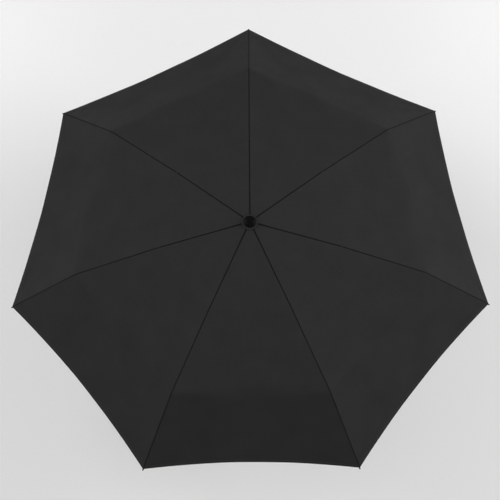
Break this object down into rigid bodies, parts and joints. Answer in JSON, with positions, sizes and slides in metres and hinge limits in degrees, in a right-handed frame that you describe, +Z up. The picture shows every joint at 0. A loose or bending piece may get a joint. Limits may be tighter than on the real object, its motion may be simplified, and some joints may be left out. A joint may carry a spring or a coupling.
{
  "type": "folding umbrella",
  "caption": "Compact telescopic umbrella, open: shallow polygonal black canopy on jointed folding ribs, sliding runner, telescoping shaft and short grip.",
  "frame": {"origin": "centre of the handle's flat end face", "axes": "+Z up the shaft to the cap, +Y along the first rib"},
  "size_m": [0.9472, 0.9236, 0.6224],
  "materials": {
    "black_fabric": "woven, matte",
    "black_gloss_plastic": "moulded, glossy",
    "black_plastic": "moulded, satin",
    "soft_black_grip": "soft-touch, matte",
    "plated_tube": "nickel plated, polished",
    "zinc_steel": "zinc plated, satin",
    "black_painted_steel": "black, semi-gloss",
    "black_glass_fibre": "pultruded rod, satin"
  },
  "bodies": {
    "handle": {"handle_grip": "soft_black_grip", "handle_end_plug": "black_plastic", "strap_eye": "zinc_steel", "lower_tube": "plated_tube", "lower_tube_collar": "black_plastic"},
    "middle_shaft": {"middle_tube": "plated_tube", "middle_tube_bush": "black_plastic", "middle_tube_collar": "black_plastic"},
    "upper_shaft": {"top_tube": "plated_tube", "top_tube_bush": "black_plastic", "crown": "black_plastic", "crown_ring": "zinc_steel", "top_cap": "black_gloss_plastic", "cap_disc": "black_fabric", "canopy_gore_1": "black_fabric", "canopy_gore_2": "black_fabric", "canopy_gore_3": "black_fabric", "canopy_gore_4": "black_fabric", "canopy_gore_5": "black_fabric", "canopy_gore_6": "black_fabric", "canopy_gore_7": "black_fabric"},
    "runner": {"runner": "black_plastic", "runner_ring": "zinc_steel", "runner_collar": "black_plastic"},
    "catch": {"catch": "zinc_steel"},
    "inner_rib_1": {"inner_rib_1": "black_painted_steel"},
    "inner_rib_2": {"inner_rib_2": "black_painted_steel"},
    "inner_rib_3": {"inner_rib_3": "black_painted_steel"},
    "inner_rib_4": {"inner_rib_4": "black_painted_steel"},
    "inner_rib_5": {"inner_rib_5": "black_painted_steel"},
    "inner_rib_6": {"inner_rib_6": "black_painted_steel"},
    "inner_rib_7": {"inner_rib_7": "black_painted_steel"},
    "stretcher_1": {"stretcher_1": "black_painted_steel"},
    "stretcher_2": {"stretcher_2": "black_painted_steel"},
    "stretcher_3": {"stretcher_3": "black_painted_steel"},
    "stretcher_4": {"stretcher_4": "black_painted_steel"},
    "stretcher_5": {"stretcher_5": "black_painted_steel"},
    "stretcher_6": {"stretcher_6": "black_painted_steel"},
    "stretcher_7": {"stretcher_7": "black_painted_steel"},
    "middle_rib_1": {"middle_rib_1": "black_painted_steel"},
    "middle_rib_2": {"middle_rib_2": "black_painted_steel"},
    "middle_rib_3": {"middle_rib_3": "black_painted_steel"},
    "middle_rib_4": {"middle_rib_4": "black_painted_steel"},
    "middle_rib_5": {"middle_rib_5": "black_painted_steel"},
    "middle_rib_6": {"middle_rib_6": "black_painted_steel"},
    "middle_rib_7": {"middle_rib_7": "black_painted_steel"},
    "link_1": {"link_1": "zinc_steel"},
    "link_2": {"link_2": "zinc_steel"},
    "link_3": {"link_3": "zinc_steel"},
    "link_4": {"link_4": "zinc_steel"},
    "link_5": {"link_5": "zinc_steel"},
    "link_6": {"link_6": "zinc_steel"},
    "link_7": {"link_7": "zinc_steel"},
    "outer_rib_1": {"outer_rib_1": "black_glass_fibre"},
    "outer_rib_2": {"outer_rib_2": "black_glass_fibre"},
    "outer_rib_3": {"outer_rib_3": "black_glass_fibre"},
    "outer_rib_4": {"outer_rib_4": "black_glass_fibre"},
    "outer_rib_5": {"outer_rib_5": "black_glass_fibre"},
    "outer_rib_6": {"outer_rib_6": "black_glass_fibre"},
    "outer_rib_7": {"outer_rib_7": "black_glass_fibre"}
  },
  "joints": [
    {"name": "middle_tube_slide", "type": "slide", "parent": "handle", "child": "middle_shaft", "axis": [0, 0, -1], "range_m": [0, 0.168]},
    {"name": "top_tube_slide", "type": "slide", "parent": "middle_shaft", "child": "upper_shaft", "axis": [0, 0, -1], "range_m": [0, 0.168]},
    {"name": "runner_slide", "type": "slide", "parent": "upper_shaft", "child": "runner", "axis": [0, 0, -1], "range_m": [0, 0.1099], "deforming": ["canopy_gore_1", "canopy_gore_2", "canopy_gore_3", "canopy_gore_4", "canopy_gore_5", "canopy_gore_6", "canopy_gore_7"]},
    {"name": "catch_press", "type": "slide", "parent": "upper_shaft", "child": "catch", "axis": [0, -1, 0], "range_m": [-0.0005, 0], "stiffness_N_per_m": 400},
    {"name": "inner_rib_1_hinge", "type": "hinge", "parent": "upper_shaft", "child": "inner_rib_1", "pos_m": [0, 0.012, 0.6114], "axis": [1, 0, 0], "range_deg": [-79.45, 0]},
    {"name": "inner_rib_2_hinge", "type": "hinge", "parent": "upper_shaft", "child": "inner_rib_2", "pos_m": [0.00938, 0.00748, 0.6114], "axis": [0.6235, -0.7818, 0], "range_deg": [-79.45, 0]},
    {"name": "inner_rib_3_hinge", "type": "hinge", "parent": "upper_shaft", "child": "inner_rib_3", "pos_m": [0.0117, -0.00267, 0.6114], "axis": [-0.2225, -0.9749, 0], "range_deg": [-79.45, 0]},
    {"name": "inner_rib_4_hinge", "type": "hinge", "parent": "upper_shaft", "child": "inner_rib_4", "pos_m": [0.00521, -0.01081, 0.6114], "axis": [-0.901, -0.4339, 0], "range_deg": [-79.45, 0]},
    {"name": "inner_rib_5_hinge", "type": "hinge", "parent": "upper_shaft", "child": "inner_rib_5", "pos_m": [-0.00521, -0.01081, 0.6114], "axis": [-0.901, 0.4339, 0], "range_deg": [-79.45, 0]},
    {"name": "inner_rib_6_hinge", "type": "hinge", "parent": "upper_shaft", "child": "inner_rib_6", "pos_m": [-0.0117, -0.00267, 0.6114], "axis": [-0.2225, 0.9749, 0], "range_deg": [-79.45, 0]},
    {"name": "inner_rib_7_hinge", "type": "hinge", "parent": "upper_shaft", "child": "inner_rib_7", "pos_m": [-0.00938, 0.00748, 0.6114], "axis": [0.6235, 0.7818, 0], "range_deg": [-79.45, 0]},
    {"name": "stretcher_1_hinge", "type": "hinge", "parent": "runner", "child": "stretcher_1", "pos_m": [0, 0.012, 0.54235], "axis": [1, 0, 0], "range_deg": [0, 56.25]},
    {"name": "stretcher_2_hinge", "type": "hinge", "parent": "runner", "child": "stretcher_2", "pos_m": [0.00938, 0.00748, 0.54235], "axis": [0.6235, -0.7818, 0], "range_deg": [0, 56.25]},
    {"name": "stretcher_3_hinge", "type": "hinge", "parent": "runner", "child": "stretcher_3", "pos_m": [0.0117, -0.00267, 0.54235], "axis": [-0.2225, -0.9749, 0], "range_deg": [0, 56.25]},
    {"name": "stretcher_4_hinge", "type": "hinge", "parent": "runner", "child": "stretcher_4", "pos_m": [0.00521, -0.01081, 0.54235], "axis": [-0.901, -0.4339, 0], "range_deg": [0, 56.25]},
    {"name": "stretcher_5_hinge", "type": "hinge", "parent": "runner", "child": "stretcher_5", "pos_m": [-0.00521, -0.01081, 0.54235], "axis": [-0.901, 0.4339, 0], "range_deg": [0, 56.25]},
    {"name": "stretcher_6_hinge", "type": "hinge", "parent": "runner", "child": "stretcher_6", "pos_m": [-0.0117, -0.00267, 0.54235], "axis": [-0.2225, 0.9749, 0], "range_deg": [0, 56.25]},
    {"name": "stretcher_7_hinge", "type": "hinge", "parent": "runner", "child": "stretcher_7", "pos_m": [-0.00938, 0.00748, 0.54235], "axis": [0.6235, 0.7818, 0], "range_deg": [0, 56.25]},
    {"name": "middle_rib_1_hinge", "type": "hinge", "parent": "inner_rib_1", "child": "middle_rib_1", "pos_m": [0, 0.18041, 0.58171], "axis": [1, 0, 0], "range_deg": [0, 186.05]},
    {"name": "middle_rib_2_hinge", "type": "hinge", "parent": "inner_rib_2", "child": "middle_rib_2", "pos_m": [0.14105, 0.11249, 0.58171], "axis": [0.6235, -0.7818, 0], "range_deg": [0, 186.05]},
    {"name": "middle_rib_3_hinge", "type": "hinge", "parent": "inner_rib_3", "child": "middle_rib_3", "pos_m": [0.17589, -0.04015, 0.58171], "axis": [-0.2225, -0.9749, 0], "range_deg": [0, 186.05]},
    {"name": "middle_rib_4_hinge", "type": "hinge", "parent": "inner_rib_4", "child": "middle_rib_4", "pos_m": [0.07828, -0.16255, 0.58171], "axis": [-0.901, -0.4339, 0], "range_deg": [0, 186.05]},
    {"name": "middle_rib_5_hinge", "type": "hinge", "parent": "inner_rib_5", "child": "middle_rib_5", "pos_m": [-0.07828, -0.16255, 0.58171], "axis": [-0.901, 0.4339, 0], "range_deg": [0, 186.05]},
    {"name": "middle_rib_6_hinge", "type": "hinge", "parent": "inner_rib_6", "child": "middle_rib_6", "pos_m": [-0.17589, -0.04015, 0.58171], "axis": [-0.2225, 0.9749, 0], "range_deg": [0, 186.05]},
    {"name": "middle_rib_7_hinge", "type": "hinge", "parent": "inner_rib_7", "child": "middle_rib_7", "pos_m": [-0.14105, 0.11249, 0.58171], "axis": [0.6235, 0.7818, 0], "range_deg": [0, 186.05]},
    {"name": "link_1_hinge", "type": "hinge", "parent": "middle_rib_1", "child": "link_1", "pos_m": [0, 0.1689, 0.57833], "axis": [1, 0, 0], "range_deg": [-183.81, 0]},
    {"name": "link_2_hinge", "type": "hinge", "parent": "middle_rib_2", "child": "link_2", "pos_m": [0.13205, 0.10531, 0.57833], "axis": [0.6235, -0.7818, 0], "range_deg": [-183.81, 0]},
    {"name": "link_3_hinge", "type": "hinge", "parent": "middle_rib_3", "child": "link_3", "pos_m": [0.16467, -0.03758, 0.57833], "axis": [-0.2225, -0.9749, 0], "range_deg": [-183.81, 0]},
    {"name": "link_4_hinge", "type": "hinge", "parent": "middle_rib_4", "child": "link_4", "pos_m": [0.07328, -0.15218, 0.57833], "axis": [-0.901, -0.4339, 0], "range_deg": [-183.81, 0]},
    {"name": "link_5_hinge", "type": "hinge", "parent": "middle_rib_5", "child": "link_5", "pos_m": [-0.07328, -0.15218, 0.57833], "axis": [-0.901, 0.4339, 0], "range_deg": [-183.81, 0]},
    {"name": "link_6_hinge", "type": "hinge", "parent": "middle_rib_6", "child": "link_6", "pos_m": [-0.16467, -0.03758, 0.57833], "axis": [-0.2225, 0.9749, 0], "range_deg": [-183.81, 0]},
    {"name": "link_7_hinge", "type": "hinge", "parent": "middle_rib_7", "child": "link_7", "pos_m": [-0.13205, 0.10531, 0.57833], "axis": [0.6235, 0.7818, 0], "range_deg": [-183.81, 0]},
    {"name": "outer_rib_1_hinge", "type": "hinge", "parent": "middle_rib_1", "child": "outer_rib_1", "pos_m": [0, 0.34613, 0.52855], "axis": [1, 0, 0], "range_deg": [-155.45, 0]},
    {"name": "outer_rib_2_hinge", "type": "hinge", "parent": "middle_rib_2", "child": "outer_rib_2", "pos_m": [0.27062, 0.21581, 0.52855], "axis": [0.6235, -0.7818, 0], "range_deg": [-155.45, 0]},
    {"name": "outer_rib_3_hinge", "type": "hinge", "parent": "middle_rib_3", "child": "outer_rib_3", "pos_m": [0.33745, -0.07702, 0.52855], "axis": [-0.2225, -0.9749, 0], "range_deg": [-155.45, 0]},
    {"name": "outer_rib_4_hinge", "type": "hinge", "parent": "middle_rib_4", "child": "outer_rib_4", "pos_m": [0.15018, -0.31185, 0.52855], "axis": [-0.901, -0.4339, 0], "range_deg": [-155.45, 0]},
    {"name": "outer_rib_5_hinge", "type": "hinge", "parent": "middle_rib_5", "child": "outer_rib_5", "pos_m": [-0.15018, -0.31185, 0.52855], "axis": [-0.901, 0.4339, 0], "range_deg": [-155.45, 0]},
    {"name": "outer_rib_6_hinge", "type": "hinge", "parent": "middle_rib_6", "child": "outer_rib_6", "pos_m": [-0.33745, -0.07702, 0.52855], "axis": [-0.2225, 0.9749, 0], "range_deg": [-155.45, 0]},
    {"name": "outer_rib_7_hinge", "type": "hinge", "parent": "middle_rib_7", "child": "outer_rib_7", "pos_m": [-0.27062, 0.21581, 0.52855], "axis": [0.6235, 0.7818, 0], "range_deg": [-155.45, 0]}
  ],
  "couplings": [
    {"joint": "inner_rib_1_hinge", "follows": "runner_slide", "rad_per_m": -12.61},
    {"joint": "inner_rib_2_hinge", "follows": "runner_slide", "rad_per_m": -12.61},
    {"joint": "inner_rib_3_hinge", "follows": "runner_slide", "rad_per_m": -12.61},
    {"joint": "inner_rib_4_hinge", "follows": "runner_slide", "rad_per_m": -12.61},
    {"joint": "inner_rib_5_hinge", "follows": "runner_slide", "rad_per_m": -12.61},
    {"joint": "inner_rib_6_hinge", "follows": "runner_slide", "rad_per_m": -12.61},
    {"joint": "inner_rib_7_hinge", "follows": "runner_slide", "rad_per_m": -12.61},
    {"joint": "stretcher_1_hinge", "follows": "runner_slide", "rad_per_m": 8.9244},
    {"joint": "stretcher_2_hinge", "follows": "runner_slide", "rad_per_m": 8.9244},
    {"joint": "stretcher_3_hinge", "follows": "runner_slide", "rad_per_m": 8.9244},
    {"joint": "stretcher_4_hinge", "follows": "runner_slide", "rad_per_m": 8.9244},
    {"joint": "stretcher_5_hinge", "follows": "runner_slide", "rad_per_m": 8.9244},
    {"joint": "stretcher_6_hinge", "follows": "runner_slide", "rad_per_m": 8.9244},
    {"joint": "stretcher_7_hinge", "follows": "runner_slide", "rad_per_m": 8.9244},
    {"joint": "middle_rib_1_hinge", "follows": "runner_slide", "rad_per_m": 29.539},
    {"joint": "middle_rib_2_hinge", "follows": "runner_slide", "rad_per_m": 29.539},
    {"joint": "middle_rib_3_hinge", "follows": "runner_slide", "rad_per_m": 29.539},
    {"joint": "middle_rib_4_hinge", "follows": "runner_slide", "rad_per_m": 29.539},
    {"joint": "middle_rib_5_hinge", "follows": "runner_slide", "rad_per_m": 29.539},
    {"joint": "middle_rib_6_hinge", "follows": "runner_slide", "rad_per_m": 29.539},
    {"joint": "middle_rib_7_hinge", "follows": "runner_slide", "rad_per_m": 29.539},
    {"joint": "link_1_hinge", "follows": "runner_slide", "rad_per_m": -29.182},
    {"joint": "link_2_hinge", "follows": "runner_slide", "rad_per_m": -29.182},
    {"joint": "link_3_hinge", "follows": "runner_slide", "rad_per_m": -29.182},
    {"joint": "link_4_hinge", "follows": "runner_slide", "rad_per_m": -29.182},
    {"joint": "link_5_hinge", "follows": "runner_slide", "rad_per_m": -29.182},
    {"joint": "link_6_hinge", "follows": "runner_slide", "rad_per_m": -29.182},
    {"joint": "link_7_hinge", "follows": "runner_slide", "rad_per_m": -29.182},
    {"joint": "outer_rib_1_hinge", "follows": "runner_slide", "rad_per_m": -24.679},
    {"joint": "outer_rib_2_hinge", "follows": "runner_slide", "rad_per_m": -24.679},
    {"joint": "outer_rib_3_hinge", "follows": "runner_slide", "rad_per_m": -24.679},
    {"joint": "outer_rib_4_hinge", "follows": "runner_slide", "rad_per_m": -24.679},
    {"joint": "outer_rib_5_hinge", "follows": "runner_slide", "rad_per_m": -24.679},
    {"joint": "outer_rib_6_hinge", "follows": "runner_slide", "rad_per_m": -24.679},
    {"joint": "outer_rib_7_hinge", "follows": "runner_slide", "rad_per_m": -24.679}
  ]
}
